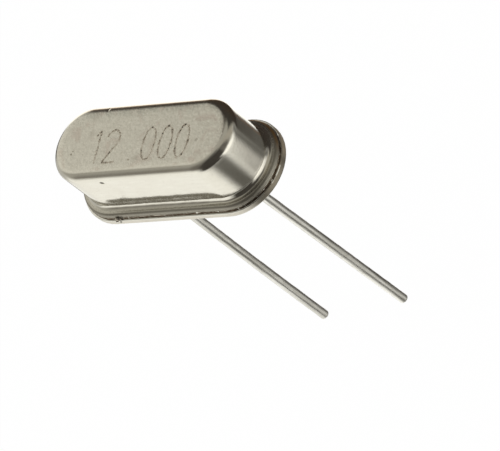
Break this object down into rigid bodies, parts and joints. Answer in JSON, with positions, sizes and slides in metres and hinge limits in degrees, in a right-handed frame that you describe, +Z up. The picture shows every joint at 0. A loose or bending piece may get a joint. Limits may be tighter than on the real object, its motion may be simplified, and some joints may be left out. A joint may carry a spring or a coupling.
{
  "type": "crystal oscillator",
  "caption": "Low metal housing with a slot-shaped outline and rounded top on a flanged base, with two straight wire leads below and a quartz strip on spring clips inside.",
  "frame": {"origin": "middle of the base's flat underside, which is the seating plane on the board", "axes": "+Z up through the cap's top, with the leads running along -Z; +X along the housing from the longer left lead to the shorter right lead; +Y across the housing"},
  "size_m": [0.011, 0.0046, 0.0179],
  "materials": {
    "cap_nickel": "satin nickel plate, drawn",
    "base_steel": "satin nickel plate, coined",
    "seal_glass": "dark sealing glass",
    "tinned_wire": "tinned wire with drawing lines",
    "clip_strip": "spring strip, bright",
    "quartz": "lapped quartz",
    "silver_film": "evaporated silver",
    "silver_adhesive": "cured silver-filled resin"
  },
  "bodies": {
    "root": {"cap": "cap_nickel", "base": "base_steel", "glass_seal_left": "seal_glass", "glass_seal_right": "seal_glass", "lead_left": "tinned_wire", "lead_right": "tinned_wire", "spring_clip_left": "clip_strip", "spring_clip_right": "clip_strip", "quartz_blank": "quartz", "electrode_front": "silver_film", "electrode_back": "silver_film", "adhesive_left": "silver_adhesive", "adhesive_right": "silver_adhesive"}
  },
  "joints": []
}
